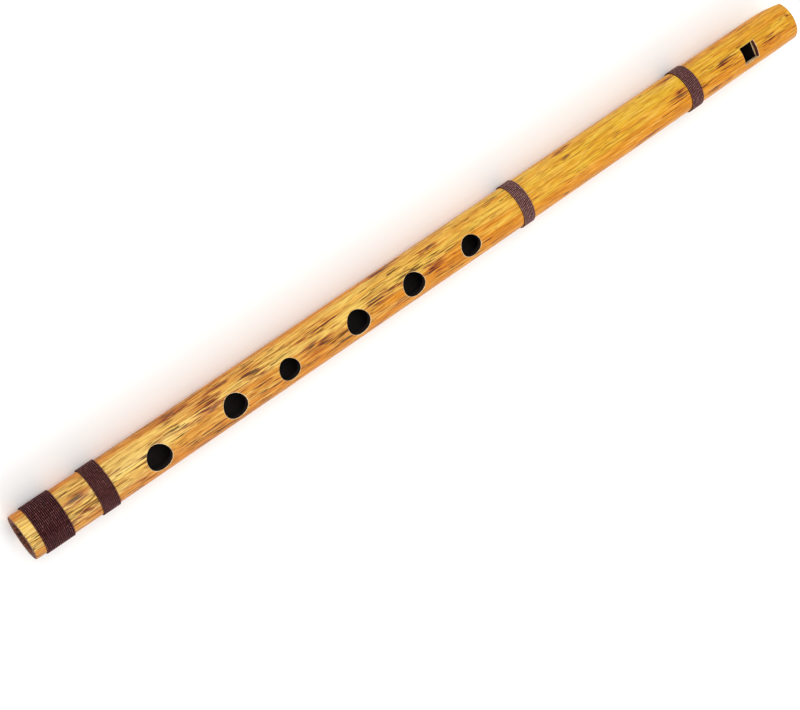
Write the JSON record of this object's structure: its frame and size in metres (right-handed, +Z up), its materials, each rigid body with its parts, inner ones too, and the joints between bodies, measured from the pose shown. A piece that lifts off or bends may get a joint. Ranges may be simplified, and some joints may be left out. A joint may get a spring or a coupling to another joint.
{
  "type": "bamboo flute",
  "caption": "End-blown bamboo whistle flute with finger holes, a square window, a fipple block, a beak-cut mouthpiece and dark thread bindings.",
  "frame": {"origin": "middle of the bore's open end at the foot, on the bore's axis", "axes": "+X along the bore from the foot to the blowing end, +Z up through the finger holes, +Y to the left when looking from the foot towards the blowing end, with the holes on top"},
  "size_m": [0.356, 0.0188, 0.0188],
  "materials": {
    "lacquered_bamboo": "gloss",
    "fipple_wood": "matte",
    "waxed_thread": "satin"
  },
  "bodies": {
    "root": {"bamboo_tube": "lacquered_bamboo", "fipple_block": "fipple_wood", "foot_binding": "waxed_thread", "lower_binding": "waxed_thread", "middle_binding": "waxed_thread", "head_binding": "waxed_thread"}
  },
  "joints": []
}
